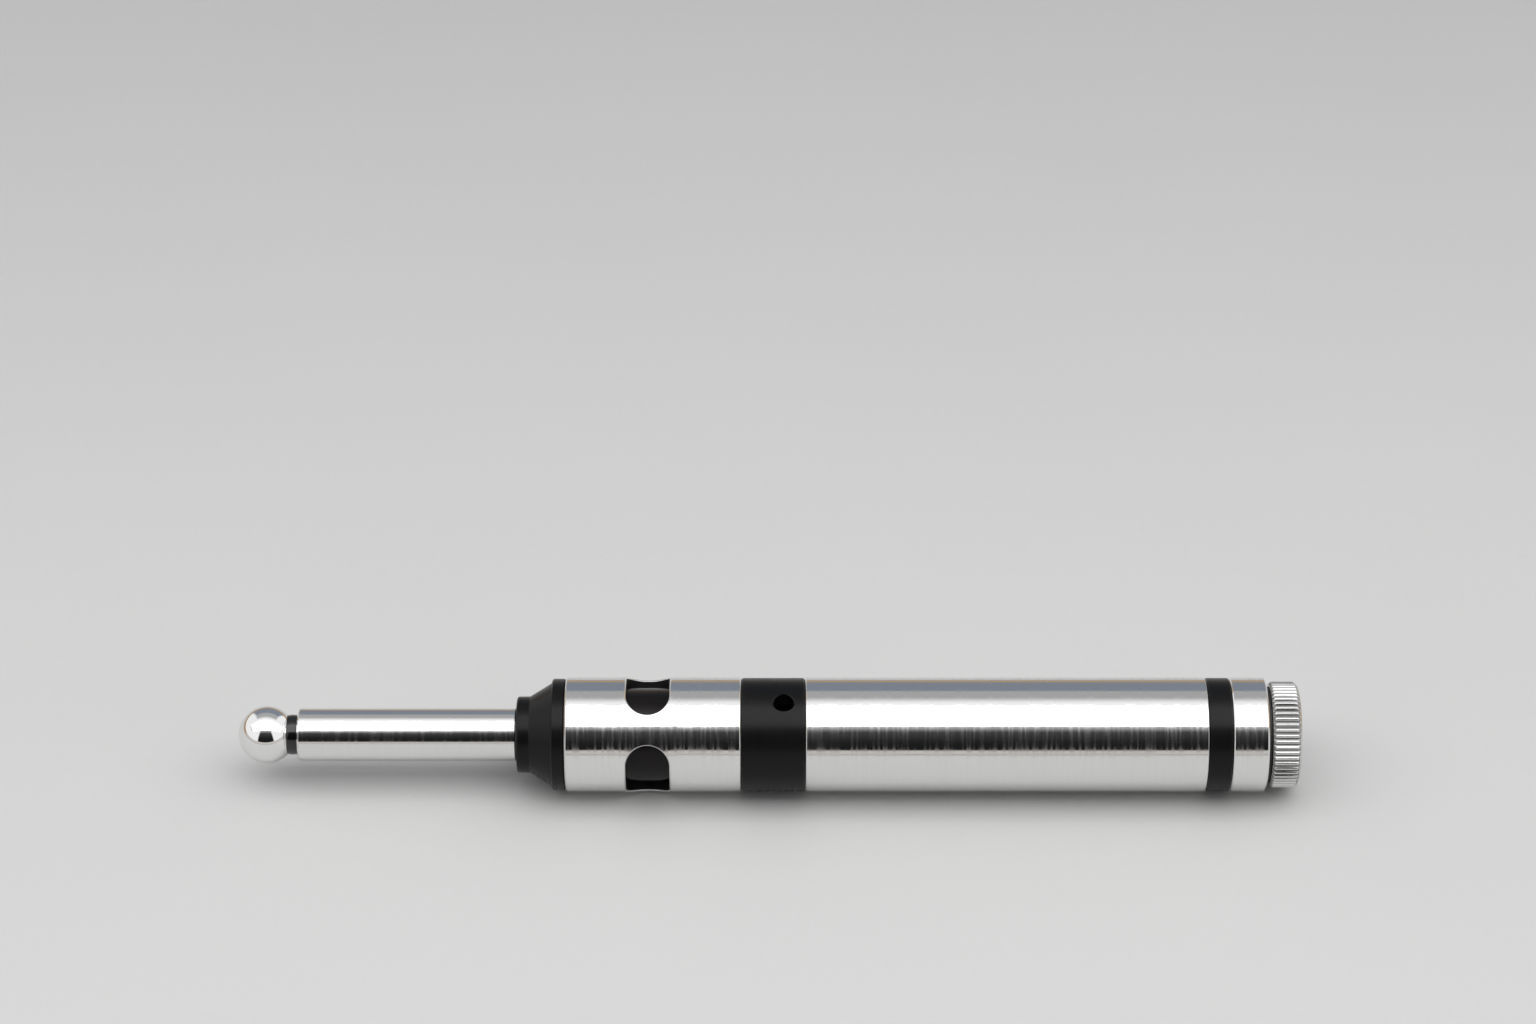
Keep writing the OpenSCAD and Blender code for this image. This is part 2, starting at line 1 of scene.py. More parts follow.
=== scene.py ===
"""Dresses the electronic edge finder round its solid frame.

The tool lies along +X with its axis at the origin, and every length here is in metres.
Places along the tool come from the boxes of the solids that the pieces stand for.
"""
import json
from math import asin, atan2, cos, degrees, hypot, pi, radians, sin, sqrt

import bmesh
import bpy
from mathutils import Matrix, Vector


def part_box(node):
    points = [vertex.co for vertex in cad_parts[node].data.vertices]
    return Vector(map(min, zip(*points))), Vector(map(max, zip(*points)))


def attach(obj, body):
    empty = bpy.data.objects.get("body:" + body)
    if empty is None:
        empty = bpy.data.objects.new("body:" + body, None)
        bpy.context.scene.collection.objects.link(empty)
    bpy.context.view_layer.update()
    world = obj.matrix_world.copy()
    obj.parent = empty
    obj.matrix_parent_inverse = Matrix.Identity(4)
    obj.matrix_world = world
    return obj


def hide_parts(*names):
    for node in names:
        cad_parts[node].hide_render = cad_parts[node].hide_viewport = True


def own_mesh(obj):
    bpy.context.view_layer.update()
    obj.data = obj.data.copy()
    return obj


bl_info = {
    "name": "Edge finder dressing",
    "version": (1, 0, 0),
    "blender": (4, 5, 0),
    "location": "3D View > Sidebar > Edge finder",
    "description": "Models and finishes the pieces of an electronic edge finder",
    "category": "Object",
}

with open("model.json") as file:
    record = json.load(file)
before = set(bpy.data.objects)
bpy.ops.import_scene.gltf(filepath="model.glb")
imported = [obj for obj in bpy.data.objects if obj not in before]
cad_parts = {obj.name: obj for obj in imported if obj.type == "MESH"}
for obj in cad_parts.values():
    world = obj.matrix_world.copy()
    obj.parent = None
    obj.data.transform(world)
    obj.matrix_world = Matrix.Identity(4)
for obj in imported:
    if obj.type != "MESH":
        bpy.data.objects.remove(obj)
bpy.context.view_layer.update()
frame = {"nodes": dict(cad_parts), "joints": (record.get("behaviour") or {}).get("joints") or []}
NODES = frame["nodes"]

MM = 0.001
AXIS = (1, 0, 0)
PLAY = 0.05 * MM  # gap between pieces that fit into each other
MERGE = 1e-7  # points nearer to each other than this are one point
SEAM = MERGE * 20  # the same where the rolled strip is joined
SHARP = radians(35)  # corners sharper than this stay crisp on a piece without fine edges

BLACK_SHEEN = 0.19  # specular level of the black surfaces, under the usual 0.5
# near-black painted as shade on the metal inside the lamp tube
SHADE_PAINT_BLACK = (0.004, 0.004, 0.004)
SPRING_STEEL = (0.62, 0.63, 0.64)
LINE_DEPTH = 0.0006 * MM  # relief of the lines that grinding leaves


def ends(node):
    """The front and rear face of a solid along the tool."""
    low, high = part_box(node)
    return low.x, high.x


def outer(node):
    """The largest radius of a round solid."""
    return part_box(node)[1].z


def bead_centre():
    """The place along the tool of the bead's centre, which the ball rocks about."""
    return sum(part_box("ball_seat")[i].x for i in (0, 1)) / 2


def cup_radius():
    """The radius of the two cups, in the ball and in the stem, that hold the bead."""
    return outer("ball_seat") + 0.03 * MM


# ---------------------------------------------------------------- sizes and colours

def length(label, text, value, low, high):
    """A length that is given in millimetres and kept in metres."""
    return bpy.props.FloatProperty(
        name=label, description=text, default=value * MM, min=low * MM, max=high * MM,
        unit="LENGTH", precision=5)


def colour(label, text, value):
    return bpy.props.FloatVectorProperty(
        name=label, description=text, default=value, size=3, min=0, max=1, subtype="COLOR")


class EdgeFinderSizes(bpy.types.PropertyGroup):
    fine_edge: length("Fine edge", "Rounding left on the edges of turned pieces", 0.05, 0.01, 0.2)
    edge_break: length("Edge break", "Bevel on the ends of the steel tubes", 0.3, 0.1, 0.6)
    bore: length("Bore", "Radius of the bore that holds the cell sleeve", 7, 6.8, 7.4)
    socket: length("Socket", "Radius of the sockets at the tubes' ends", 8.2, 7.9, 8.5)
    spigot: length("Spigot", "Radius of the spigots that go into the sockets", 8.15, 7.85, 8.45)
    window_width: length("Window width", "Width of a window along the tool", 7.6, 5, 9)
    window_span: bpy.props.FloatProperty(
        name="Window span", description="Angle that a window spans round the axis",
        default=radians(87), min=radians(60), max=radians(100), unit="ROTATION")
    window_bevel: length("Window bevel", "Bevel round each window", 0.22, 0.1, 0.4)
    knurl_count: bpy.props.IntProperty(
        name="Knurl ridges", description="Ridges round the cap", default=56, min=40, max=72)
    knurl_depth: length("Knurl depth", "Depth of the grooves in the cap", 0.42, 0.2, 0.6)
    rim_bevel: length("Rim bevel", "Bevel on the cap's outer rim", 0.7, 0.3, 1.2)
    thread_pitch: length("Thread pitch", "Advance of the cap's thread in one turn", 1, 0.5, 1.5)
    thread_depth: length("Thread depth", "Depth of the cap's thread", 0.5, 0.2, 0.7)


class EdgeFinderColours(bpy.types.PropertyGroup):
    steel: colour("Ground steel", "Colour of the tubes, the shank and the stem", (0.80, 0.80, 0.79))
    polished: colour("Polished steel", "Colour of the ball", (0.84, 0.84, 0.83))
    nickel: colour("Nickel", "Colour of the cap", (0.70, 0.70, 0.69))
    black: colour("Black plastic", "Colour of the nose, the ring and the band",
                  (0.003, 0.003, 0.003))
    bead: colour("Bead", "Colour of the bead under the ball", (0.003, 0.003, 0.003))
    smoke: colour("Smoked sleeve", "Colour of the sleeve behind the windows",
                  (0.0045, 0.0032, 0.003))
    rubber: colour("Rubber", "Colour of the cap's seal", (0.014, 0.014, 0.014))
    floor: colour("Floor", "Colour of the floor", (0.55, 0.55, 0.545))
    lamp_strength: bpy.props.FloatProperty(
        name="Lamp strength", description="Radiance of the large overhead lamp",
        default=2.3, min=0.2, max=4)


# ---------------------------------------------------------------- modelling

class Outline:
    """A profile in the plane of the axis, drawn on from its last point by mesh operators."""

    def __init__(self, x, r):
        self.mesh = bmesh.new()
        self.first = self.mesh.verts.new((x, 0, r))
        self.last = self.first

    def to(self, *points):
        """Straight lines from point to point, each a place along the axis and a radius."""
        for x, r in points:
            self.last = bmesh.ops.extrude_vert_indiv(self.mesh, verts=[self.last])["verts"][0]
            self.last.co = (x, 0, r)
        return self

    def turn(self, x, r, angle, steps):
        """An arc round the point (x, r), by an angle in degrees from +Z towards +X."""
        made = bmesh.ops.spin(self.mesh, geom=[self.last], cent=(x, 0, r), axis=(0, 1, 0),
                              angle=radians(angle), steps=steps)
        self.last = made["geom_last"][0]
        return self

    def close(self):
        self.mesh.edges.new((self.last, self.first))
        return self

    def spun(self, steps=144):
        """Turns the profile round the tool's axis into a closed skin."""
        mesh = self.mesh
        bmesh.ops.spin(mesh, geom=mesh.verts[:] + mesh.edges[:], cent=(0, 0, 0), axis=AXIS,
                       angle=2 * pi, steps=steps, use_merge=True)
        return mend(mesh)


def mend(mesh):
    """Merges doubles and points the faces outwards."""
    bmesh.ops.remove_doubles(mesh, verts=mesh.verts[:], dist=MERGE)
    bmesh.ops.dissolve_degenerate(mesh, edges=mesh.edges[:], dist=MERGE)
    bmesh.ops.recalc_face_normals(mesh, faces=mesh.faces[:])
    return mesh


def everything(mesh):
    return mesh.verts[:] + mesh.edges[:] + mesh.faces[:]


def verts_of(geometry):
    return [g for g in geometry if isinstance(g, bmesh.types.BMVert)]


def edges_of(verts):
    """The edges at some points, each one once and in the same order every time."""
    return list(dict.fromkeys(e for v in verts for e in v.link_edges))


def with_edges(verts):
    """The points of a loop together with its edges."""
    return verts + edges_of(verts)


def bevel(mesh, edges, width, segments=1):
    bmesh.ops.bevel(mesh, geom=edges, offset=width, offset_type="OFFSET", segments=segments,
                    profile=0.5, affect="EDGES", clamp_overlap=True, material=-1)


def add_piece(name, mesh, body, material, nodes, fine_edge=None, segments=2, angle=24):
    """Makes an object of a finished mesh, in the place of the solids named and on their body.

    A fine edge is the width of the rounding on edges sharper than the angle in degrees.
    """
    data = bpy.data.meshes.new(name)
    for face in mesh.faces:
        face.smooth = True
    mesh.to_mesh(data)
    mesh.free()
    data.materials.append(material)
    piece = bpy.data.objects.new(name, data)
    bpy.context.scene.collection.objects.link(piece)
    if fine_edge:
        edge = piece.modifiers.new("fine_edge", "BEVEL")
        edge.width = fine_edge
        edge.segments = segments
        edge.limit_method = "ANGLE"
        edge.angle_limit = radians(angle)
        edge.harden_normals = True
    else:
        data.set_sharp_from_angle(angle=SHARP)
    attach(piece, body)
    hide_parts(*nodes)
    return piece


def set_finish(node, material):
    """Gives a solid that is shown as it is its finish."""
    materials = NODES[node].data.materials
    materials.clear()
    materials.append(material)


def helix(mesh, section, pitches, steps=32):
    """Sweeps a closed section round the axis: each pitch is (turns, advance in a turn)."""
    bmesh.ops.contextual_create(mesh, geom=section)
    for turns, advance in pitches:
        count = max(1, round(turns * steps))
        made = bmesh.ops.spin(mesh, geom=section, cent=(0, 0, 0), axis=AXIS,
                              angle=2 * pi * turns, steps=count,
                              dvec=(advance * turns / count, 0, 0))
        section = [g for g in made["geom_last"] if not isinstance(g, bmesh.types.BMFace)]
    rim = [g for g in section if isinstance(g, bmesh.types.BMEdge)]
    bmesh.ops.contextual_create(mesh, geom=rim)


def coil(node, mean_r, wire_r, turns, sides=10):
    """A compression spring in a solid's box, with one closed turn at each end."""
    front, rear = ends(node)
    mesh = bmesh.new()
    loop = bmesh.ops.create_circle(mesh, segments=sides, radius=wire_r,
                                   matrix=Matrix.Translation((front + wire_r, mean_r, 0)))
    closed = 2.08 * wire_r  # a closed turn advances by a little more than the wire's width
    open_run = rear - front - 2 * wire_r - 2 * closed
    helix(mesh, with_edges(loop["verts"]), [(1, closed), (turns, open_run / turns), (1, closed)])
    return mend(mesh)


# ---------------------------------------------------------------- finishes

class Value:
    """A number that a node gives. Arithmetic on it adds Math nodes."""

    def __init__(self, finish, socket):
        self.finish = finish
        self.socket = socket

    def math(self, operation, *others):
        return self.finish.node("Math", {"operation": operation}, dict(enumerate((self, *others))))

    def __add__(self, other):
        return self.math("ADD", other)

    def __sub__(self, other):
        return self.math("SUBTRACT", other)

    def __mul__(self, other):
        return self.math("MULTIPLY", other)

    def __rsub__(self, other):
        return self.finish.node("Math", {"operation": "SUBTRACT"}, {0: other, 1: self})

    __radd__ = __add__
    __rmul__ = __mul__

    def over(self, low, high):
        """0 below the low value, 1 above the high one, and smooth between."""
        return self.finish.node("MapRange", {"interpolation_type": "SMOOTHSTEP"},
                                {"Value": self, "From Min": low, "From Max": high})

    def between(self, low, high, fade):
        """1 from the low value to the high one, with a fade that starts at each of them."""
        return self.over(low, low + fade) * (1 - self.over(high, high + fade))


class Finish:
    """A material with one Principled shader, whose values that stay the same are set on it."""

    def __init__(self, name, **fixed):
        self.material = bpy.data.materials.new(name)
        self.material.use_nodes = True
        self.tree = self.material.node_tree
        self.shader = self.tree.nodes["Principled BSDF"]
        self.place = self.node("TexCoord", output="Object")
        for socket, value in fixed.items():
            self.shader.inputs[socket.replace("_", " ")].default_value = value

    def node(self, kind, settings=None, inputs=None, output=0):
        """Adds a node, with its settings first and then the values or links of its sockets."""
        made = self.tree.nodes.new("ShaderNode" + kind)
        for name, value in (settings or {}).items():
            setattr(made, name, value)
        for name, value in (inputs or {}).items():
            if isinstance(value, Value):
                self.tree.links.new(value.socket, made.inputs[name])
            else:
                made.inputs[name].default_value = value
        return Value(self, made.outputs[output])

    def noise(self, scale, detail=3, roughness=0.5):
        """Noise between 0 and 1, with its scale along X, Y and Z in features for each metre."""
        place = self.node("Mapping", inputs={"Vector": self.place, "Scale": scale})
        return self.node("TexNoise", inputs={"Vector": place, "Scale": 1, "Detail": detail,
                                             "Roughness": roughness})

    def along(self, axis):
        return self.node("SeparateXYZ", inputs={0: self.place}, output=axis)

    def radius(self):
        """The distance from the tool's axis."""
        y, z = self.along("Y"), self.along("Z")
        return (y * y + z * z).math("SQRT")

    def mix(self, share, first, second):
        """A colour between two, each three numbers or a colour made by this method."""
        pair = [c if isinstance(c, Value) else (*c, 1) for c in (first, second)]
        return self.node("Mix", {"data_type": "RGBA"}, {0: share, 6: pair[0], 7: pair[1]}, 2)

    def vary(self, **sockets):
        """Links what changes over the surface to the shader."""
        for name, value in sockets.items():
            self.tree.links.new(value.socket, self.shader.inputs[name.replace("_", " ")])
        return self

    def bump(self, height, depth):
        """Relief of a depth in metres where the height goes from 0 to 1."""
        return self.vary(Normal=self.node("Bump", inputs={"Strength": 1, "Distance": depth,
                                                          "Height": height}))


class Room(Finish):
    """The surroundings, shaded by direction."""

    def __init__(self, world):
        self.tree = world.node_tree
        self.shader = self.tree.nodes["Background"]
        self.place = self.node("TexCoord", output="Generated")


def shade(tint, share):
    """A colour made darker, or lighter where the share is over 1."""
    return tuple(min(1, c * share) for c in tint)


def machined(name, tint, low, high, painted_shade_r=0):
    """Bare metal with the fine lines that turning or grinding leaves round the axis.

    Its roughness goes from low to high. Nearer to the axis than the radius given last, the metal is
    painted near-black and matt as shade.
    """
    finish = Finish(name, Metallic=1, Specular_IOR_Level=BLACK_SHEEN)
    lines = finish.noise((2000, 160, 160), 1).over(0.36, 0.68)
    passes = finish.noise((520, 22, 22), 3).over(0.38, 0.66)
    smears = finish.noise((70, 90, 90), 3).over(0.40, 0.75)
    streaks = lines * 0.94 + passes * 0.06
    tone = finish.mix(streaks, tint, shade(tint, 0.985))
    rough = streaks * (high - low) + smears * 0.03 + low
    # Painted shade: inside the given radius the surface is near-black, matt and not metal
    if painted_shade_r:
        bare = finish.radius().over(painted_shade_r, painted_shade_r + 0.04 * MM)
        tone = finish.mix(bare, SHADE_PAINT_BLACK, tone)
        rough = rough.math("MAXIMUM", 0.5 - bare * 0.5)
        finish.vary(Metallic=bare)
    finish.vary(Base_Color=tone, Roughness=rough)
    return finish.bump(lines * 0.8 + passes * 0.4, LINE_DEPTH).material


def polished_finish(tint):
    """Steel polished to a mirror, with a faint haze."""
    finish = Finish("polished_steel", Metallic=1)
    haze = finish.noise((240, 240, 240), 4).over(0.45, 0.75)
    finish.vary(Base_Color=finish.mix(haze, tint, shade(tint, 0.97)),
                Roughness=haze * 0.05 + 0.035)
    return finish.material


def plated_finish(tint, front, rear):
    """Nickel plate over a knurl, rougher in the grooves that run from front to rear, where painted
    shade darkens its colour.
    """
    finish = Finish("nickel_plate", Metallic=1)
    head_r = outer("end_cap")
    fade = 0.05 * MM
    grain = finish.noise((1500, 1500, 1500), 4).over(0.3, 0.7)
    crest = finish.radius().over(head_r - 0.34 * MM, head_r - 0.06 * MM)
    knurled = finish.along("X").between(front, rear - fade, fade)
    # Painted shade: the grooves between the ridges are darkened to 0.42 of the plate's colour
    groove = (1 - crest) * knurled
    finish.vary(Base_Color=finish.mix(groove, tint, shade(tint, 0.42)),
                Roughness=groove * 0.17 + grain * 0.05 + 0.17)
    return finish.bump(grain, 0.0015 * MM).material


def moulded(name, tint, low, high, grain_depth, sheen=0.5, **fixed):
    """Plastic with a fine grain, turned smooth or as it came from the mould."""
    finish = Finish(name, Specular_IOR_Level=sheen, **fixed)
    grain = finish.noise((3800, 3800, 3800), 3)
    handled = finish.noise((110, 140, 140), 4).over(0.35, 0.75)
    turned = finish.noise((2600, 30, 30), 3).over(0.35, 0.7)
    finish.vary(
        Base_Color=finish.mix(handled, tint, shade(tint, 1.35)),
        Roughness=handled * (high - low) * 0.6 + turned * (high - low) * 0.4 + low)
    return finish.bump(grain * 0.6 + turned * 0.4, grain_depth).material


def turned_black(name, tint):
    """The black plastic of the nose, the centre ring and the band."""
    return moulded(name, tint, 0.26, 0.36, 0.0012 * MM, BLACK_SHEEN)


def wire_finish(name, tint, rough):
    """Drawn or rolled metal, as on springs, nuts and strips."""
    finish = Finish(name, Metallic=1)
    drawn = finish.noise((900, 900, 900), 4).over(0.3, 0.7)
    finish.vary(Base_Color=finish.mix(drawn, tint, shade(tint, 0.8)),
                Roughness=drawn * 0.12 + rough)
    return finish.material


def board_finish():
    """Green lacquer over glass cloth, with two lacquered copper tracks."""
    finish = Finish("board_lacquer", Coat_Weight=0.3, Coat_Roughness=0.2)
    weave = finish.noise((2600, 2600, 400), 2)
    track = finish.along("Y").math("ABSOLUTE").between(3.4 * MM, 4.0 * MM, 0.05 * MM)
    green = finish.mix(weave, (0.035, 0.16, 0.06), (0.05, 0.22, 0.08))
    finish.vary(Base_Color=finish.mix(track, green, (0.07, 0.30, 0.11)),
                Roughness=weave * 0.2 + 0.3)
    return finish.bump(weave * 0.4 + track, 0.03 * MM).material


def banded_finish(front, pitch, bands):
    """A resistor's coat, with colour bands at a pitch behind its front end."""
    finish = Finish("resistor_coat", Coat_Weight=0.4)
    width, fade = 0.4 * MM, 0.02 * MM
    x = finish.along("X")
    speckle = finish.noise((2000, 2000, 2000), 2)
    coat = finish.mix(speckle, (0.58, 0.46, 0.30), (0.68, 0.56, 0.38))
    for index, band in enumerate(bands):
        start = front + index * pitch
        coat = finish.mix(x.between(start, start + width, fade), coat, band)
    return finish.vary(Base_Color=coat, Roughness=speckle * 0.15 + 0.3).material


def cell_finish(name, front, rear):
    """Printed jacket with a narrow blue band at the nub's end and bare steel at both ends."""
    finish = Finish(name, Coat_Weight=0.25, Coat_Roughness=0.15)
    fade = 0.05 * MM
    x = finish.along("X")
    scuff = finish.noise((260, 500, 500), 4).over(0.45, 0.8)
    bare = 1 - x.between(front + 1.9 * MM, rear - 0.8 * MM, fade)
    blue = x.between(front + 2 * MM, front + 3.4 * MM, fade)
    jacket = finish.mix(blue, (0.012, 0.012, 0.014), (0.006, 0.09, 0.50))
    finish.vary(Base_Color=finish.mix(bare, jacket, (0.72, 0.71, 0.69)), Metallic=bare,
                Roughness=scuff * 0.18 + 0.2)
    return finish.material


def lamp_finish():
    """Red lens, deeper in colour towards its rear."""
    finish = Finish("red_lens", Coat_Weight=1, Coat_Roughness=0.05)
    front, rear = ends("indicator_lamp")
    depth = finish.along("X").over(front, rear)
    cloud = finish.noise((900, 900, 900), 2)
    finish.vary(Base_Color=finish.mix(depth, (0.62, 0.05, 0.03), (0.30, 0.015, 0.012)),
                Roughness=cloud * 0.1 + 0.12)
    return finish.material


def floor_finish(tint):
    """Matt pale sheet with a faint mottle."""
    finish = Finish("pale_floor")
    mottle = finish.noise((14, 14, 14), 4)
    tooth = finish.noise((900, 900, 900), 3)
    finish.vary(Base_Color=finish.mix(mottle, tint, shade(tint, 0.97)),
                Roughness=tooth * 0.1 + 0.75)
    return finish.bump(tooth, 0.05 * MM).material


# ---------------------------------------------------------------- operators

def settings(context):
    return context.scene.edge_finder_sizes, context.scene.edge_finder_colours


class EDGEFINDER_OT_tip(bpy.types.Operator):
    """Models the ball, its stud, the bead that it rocks on and the sprung rod behind it"""
    bl_idname = "edgefinder.tip"
    bl_label = "Ball tip"

    def execute(self, context):
        colours = context.scene.edge_finder_colours
        pivot = bead_centre()
        pin_r = 0.75 * MM
        self.ball(pivot, pin_r, polished_finish(colours.polished))
        self.bead(pivot, colours.bead)
        steel = wire_finish("drawn_steel", SPRING_STEEL, 0.22)
        self.linked_eyes(pivot, pin_r, steel)
        self.rod_spring(steel)
        set_finish("rod_nut", wire_finish("bright_brass", (0.78, 0.57, 0.27), 0.2))
        return {"FINISHED"}

    def ball(self, pivot, pin_r, finish):
        """The ball, cupped for the bead and bored for the stud."""
        tip = ends("contact_ball")[0]
        bottom = ends("ball_stud")[0]
        ball_r = outer("contact_ball")
        ball_x = tip + ball_r
        cup_r = cup_radius()
        apart = pivot - ball_x
        to_rim = (apart ** 2 + ball_r ** 2 - cup_r ** 2) / (2 * apart)
        rim_r = sqrt(ball_r ** 2 - to_rim ** 2)
        rim_angle = degrees(atan2(rim_r, -to_rim))
        cup_start = degrees(atan2(rim_r, ball_x + to_rim - pivot))
        cup_end = degrees(atan2(pin_r, -sqrt(cup_r ** 2 - pin_r ** 2)))
        outline = Outline(tip, 0).turn(ball_x, 0, rim_angle, 72)
        outline.turn(pivot, 0, cup_start - cup_end, 20)
        outline.to((bottom, pin_r), (bottom, 0))
        add_piece("tip_ball", outline.spun(160), "ball", finish,
                  ["contact_ball"], 0.04 * MM)

    def bead(self, pivot, tint):
        """The bead, with a bore that opens towards both cups."""
        bead_r = outer("ball_seat")
        waist = 1.2 * MM
        bore_r = 1.5 * MM
        mouth_r = 2.15 * MM
        front = -sqrt(bead_r ** 2 - mouth_r ** 2)
        sweep = 180 - 2 * degrees(asin(mouth_r / bead_r))
        outline = Outline(pivot + front, mouth_r).turn(pivot, 0, sweep, 40)
        outline.to((pivot + waist, bore_r), (pivot - waist, bore_r)).close()
        gloss = moulded("black_bead", tint, 0.10, 0.18, 0.0004 * MM,
                        Coat_Weight=0.3, Coat_Roughness=0.06)
        add_piece("tip_bead", outline.spun(128), "seat", gloss, ["ball_seat"],
                  0.06 * MM)

    def linked_eyes(self, pivot, pin_r, finish):
        """The ball's eye lies flat and the rod's stands upright, each hooked through the other."""
        wire_r = 0.3 * MM
        eye_r = 0.9 * MM
        offset = 0.54 * MM
        for name, node, body, side, upright in (("tip_stud", "ball_stud", "ball", -1, False),
                                                ("pull_wire", "pull_rod", "rod", 1, True)):
            centre = pivot + side * offset
            near = centre + side * eye_r
            far = ends(node)[0 if side < 0 else 1]
            mesh = bmesh.new()
            place = Matrix.Translation((centre + eye_r, 0, 0)) @ Matrix.Rotation(pi / 2, 4, "X")
            loop = bmesh.ops.create_circle(mesh, segments=20, radius=wire_r, matrix=place)["verts"]
            bmesh.ops.spin(mesh, geom=with_edges(loop), cent=(centre, 0, 0), axis=(0, 0, 1),
                           angle=2 * pi, steps=48, use_merge=True)
            if upright:
                bmesh.ops.rotate(mesh, verts=mesh.verts[:], cent=(centre, 0, 0),
                                 matrix=Matrix.Rotation(pi / 2, 3, "X"))
            place = Matrix.Translation((near, 0, 0)) @ Matrix.Rotation(pi / 2, 4, "Y")
            shaft = bmesh.ops.create_circle(mesh, cap_ends=True, segments=40, radius=pin_r,
                                            matrix=place)["verts"]
            faces = list(dict.fromkeys(f for v in shaft for f in v.link_faces))
            end = bmesh.ops.extrude_face_region(mesh, geom=faces, use_keep_orig=True)["geom"]
            bmesh.ops.translate(mesh, vec=(far - near, 0, 0), verts=verts_of(end))
            add_piece(name, mend(mesh), body, finish, [node], 0.04 * MM)

    def rod_spring(self, finish):
        """The spring behind the rod, in a mesh of its own. The share it would flatten by as the
        ball is pulled out is worked out, but the spring keeps one shape.
        """
        piece = add_piece("rod_coil", coil("ball_spring", 2.35 * MM, 0.3 * MM, 8), "body",
                          finish, ["ball_spring"])
        front, rear = ends("ball_spring")
        travel = next(j for j in frame["joints"] if j["name"] == "ball_pull")["range_m"][1]
        1 - travel / (rear - front)
        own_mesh(piece)


class EDGEFINDER_OT_stem(bpy.types.Operator):
    """Models the steel stem with its cup, its guide and its threaded end"""
    bl_idname = "edgefinder.stem"
    bl_label = "Stem"

    def execute(self, context):
        sizes, colours = settings(context)
        front, rear = ends("stem_tube")
        nose_front = ends("nose_cone")[0]
        stem_r = outer("stem_tube")
        thread_r = 4 * MM
        lead_in = 0.4 * MM
        bore_r = 2.6 * MM
        bay_r = 3 * MM
        guide_r = 0.8 * MM
        guide = 4 * MM
        guide_rear = ends("ball_spring")[0]
        guide_front = guide_rear - guide
        edge = sizes.edge_break
        pivot = bead_centre()
        cup_r = cup_radius()
        cup_mouth = sqrt(cup_r ** 2 - (front - pivot) ** 2)
        cup_sweep = degrees(atan2(cup_mouth, front - pivot) - asin(bore_r / cup_r))
        outline = Outline(pivot + sqrt(cup_r ** 2 - bore_r ** 2), bore_r)
        outline.turn(pivot, 0, -cup_sweep, 10)
        outline.to((front, stem_r - edge), (front + edge, stem_r), (nose_front - edge, stem_r),
                   (nose_front, stem_r - edge), (nose_front, thread_r), (rear - lead_in, thread_r),
                   (rear, thread_r - lead_in), (rear, bay_r), (guide_rear, bay_r),
                   (guide_rear, guide_r), (guide_front, guide_r), (guide_front, bore_r)).close()
        steel = machined("ground_stem", colours.steel, 0.05, 0.175)
        add_piece("stem_steel", outline.spun(), "body", steel, ["stem_tube"],
                  sizes.fine_edge)
        return {"FINISHED"}


class EDGEFINDER_OT_nose(bpy.types.Operator):
    """Models the black nose: a ring, a cone and a rim in front of the windows"""
    bl_idname = "edgefinder.nose"
    bl_label = "Nose"

    def execute(self, context):
        sizes, colours = settings(context)
        front, rear = ends("nose_cone")
        tube_front = ends("lamp_tube")[0]
        wall_rear = ends("solder_lug")[0]
        bore_r = 4.05 * MM
        rounding = 0.45 * MM
        ring, ring_r = 1.8 * MM, 6.65 * MM
        cone, cone_r = 3.9 * MM, 9.05 * MM
        cone_front = front + rounding + ring
        cone_rear = cone_front + cone
        rim_r = outer("nose_cone")
        step = 0.25 * MM
        cup_r = 6.85 * MM
        outline = Outline(front, bore_r).to((front, ring_r - rounding))
        outline.turn(front + rounding, ring_r - rounding, 90, 8)
        outline.to((cone_front, ring_r), (cone_rear, cone_r), (cone_rear, rim_r - step),
                   (cone_rear + step, rim_r), (tube_front - step, rim_r),
                   (tube_front, rim_r - step), (tube_front, sizes.spigot), (rear, sizes.spigot),
                   (rear, cup_r), (wall_rear, cup_r), (wall_rear, bore_r)).close()
        black = turned_black("black_nose", colours.black)
        add_piece("nose_black", outline.spun(), "body", black, ["nose_cone"],
                  sizes.fine_edge)
        return {"FINISHED"}


